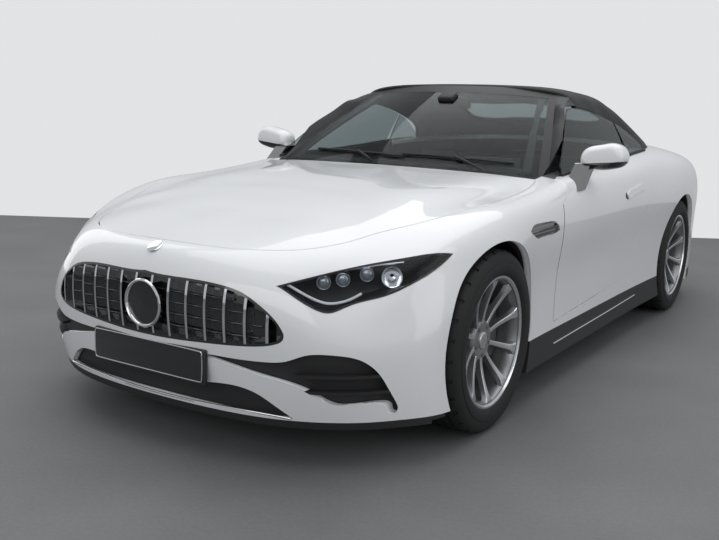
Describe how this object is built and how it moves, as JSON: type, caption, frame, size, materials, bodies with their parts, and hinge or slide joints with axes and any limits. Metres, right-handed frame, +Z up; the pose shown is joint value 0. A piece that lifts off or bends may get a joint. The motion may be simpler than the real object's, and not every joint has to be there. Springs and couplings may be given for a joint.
{
  "type": "roadster convertible",
  "caption": "Two-door sports car with a closed fabric soft top, long bonnet, slatted grille and ten-spoke wheels; doors, lids, steering and wheels move.",
  "frame": {"origin": "on the ground under the middle of the car", "axes": "-Y forward to the nose, +X to the car's left, +Z up"},
  "size_m": [2.1132, 4.7052, 1.3534],
  "materials": {
    "paint": "gloss",
    "black_trim": "satin",
    "gloss_black": "gloss",
    "structure": "satin",
    "glass": "gloss",
    "lamp_glass": "gloss",
    "lamp_red": "gloss",
    "fabric_top": "woven",
    "chrome": "polished",
    "alloy": "satin",
    "disc_steel": "brushed",
    "tyre": "matte",
    "cast": "rough",
    "leather": "grained",
    "dark_plastic": "matte"
  },
  "bodies": {
    "body": {"body_shell": "structure", "front_bumper": "paint", "front_wings": "paint", "rear_wings": "paint", "rear_deck": "paint", "rear_bumper": "paint", "diffuser": "black_trim", "tail_lamps": "lamp_red", "quarter_glass": "glass", "windscreen": "glass", "windscreen_frame": "gloss_black", "soft_top": "fabric_top", "rear_window": "glass", "grille_frame": "gloss_black", "grille_slats": "chrome", "grille_roundel": "chrome", "front_intakes": "black_trim", "front_splitter": "black_trim", "headlamp_housings": "gloss_black", "headlamp_lenses": "lamp_glass", "side_skirts": "black_trim", "arch_liners": "black_trim", "engine": "cast", "front_axle": "structure", "rear_axle": "structure", "cowl": "black_trim", "side_vents": "gloss_black", "dashboard": "dark_plastic", "front_seats": "leather", "rear_seats": "leather", "exhaust_tips": "chrome"},
    "bonnet": {"bonnet": "paint"},
    "boot_lid": {"boot_lid": "paint"},
    "door_left": {"door_left": "paint", "door_glass_left": "glass", "mirror_left": "paint"},
    "door_right": {"door_right": "paint", "door_glass_right": "glass", "mirror_right": "paint"},
    "knuckle_left": {"knuckle_left": "cast"},
    "knuckle_right": {"knuckle_right": "cast"},
    "steering_wheel": {"steering_wheel": "leather"},
    "wheel_front_left": {"rim_front_left": "alloy", "tyre_front_left": "tyre", "brake_disc_front_left": "disc_steel"},
    "wheel_front_right": {"rim_front_right": "alloy", "tyre_front_right": "tyre", "brake_disc_front_right": "disc_steel"},
    "wheel_rear_left": {"rim_rear_left": "alloy", "tyre_rear_left": "tyre", "brake_disc_rear_left": "disc_steel"},
    "wheel_rear_right": {"rim_rear_right": "alloy", "tyre_rear_right": "tyre", "brake_disc_rear_right": "disc_steel"}
  },
  "joints": [
    {"name": "steer_left", "type": "hinge", "parent": "body", "child": "knuckle_left", "pos_m": [0.738, -1.4425, 0.352], "axis": [0, 0, 1], "range_deg": [-34, 34]},
    {"name": "steer_right", "type": "hinge", "parent": "body", "child": "knuckle_right", "pos_m": [-0.738, -1.4425, 0.352], "axis": [0, 0, 1], "range_deg": [-34, 34]},
    {"name": "wheel_front_left", "type": "hinge", "parent": "knuckle_left", "child": "wheel_front_left", "pos_m": [0.83, -1.4425, 0.352], "axis": [1, 0, 0], "continuous": true},
    {"name": "wheel_rear_left", "type": "hinge", "parent": "body", "child": "wheel_rear_left", "pos_m": [0.84, 1.2575, 0.352], "axis": [1, 0, 0], "continuous": true},
    {"name": "wheel_front_right", "type": "hinge", "parent": "knuckle_right", "child": "wheel_front_right", "pos_m": [-0.83, -1.4425, 0.352], "axis": [1, 0, 0], "continuous": true},
    {"name": "wheel_rear_right", "type": "hinge", "parent": "body", "child": "wheel_rear_right", "pos_m": [-0.84, 1.2575, 0.352], "axis": [1, 0, 0], "continuous": true},
    {"name": "door_left", "type": "hinge", "parent": "body", "child": "door_left", "pos_m": [0.86, -0.9025, 0.605], "axis": [0, 0, -1], "range_deg": [0, 60]},
    {"name": "door_right", "type": "hinge", "parent": "body", "child": "door_right", "pos_m": [-0.86, -0.9025, 0.605], "axis": [0, 0, 1], "range_deg": [0, 60]},
    {"name": "bonnet", "type": "hinge", "parent": "body", "child": "bonnet", "pos_m": [0, -0.6965, 0.918], "axis": [-1, 0, 0], "range_deg": [0, 50]},
    {"name": "boot_lid", "type": "hinge", "parent": "body", "child": "boot_lid", "pos_m": [0, 1.4125, 1.043], "axis": [1, 0, 0], "range_deg": [0, 80]},
    {"name": "steering_wheel", "type": "hinge", "parent": "body", "child": "steering_wheel", "pos_m": [0.3715, -0.3124, 0.7888], "axis": [0, 0.9135, 0.4067], "range_deg": [-440, 440]}
  ],
  "couplings": [
    {"joint": "steer_right", "follows": "steer_left", "ratio": 1},
    {"joint": "steering_wheel", "follows": "steer_left", "ratio": 12.8}
  ]
}
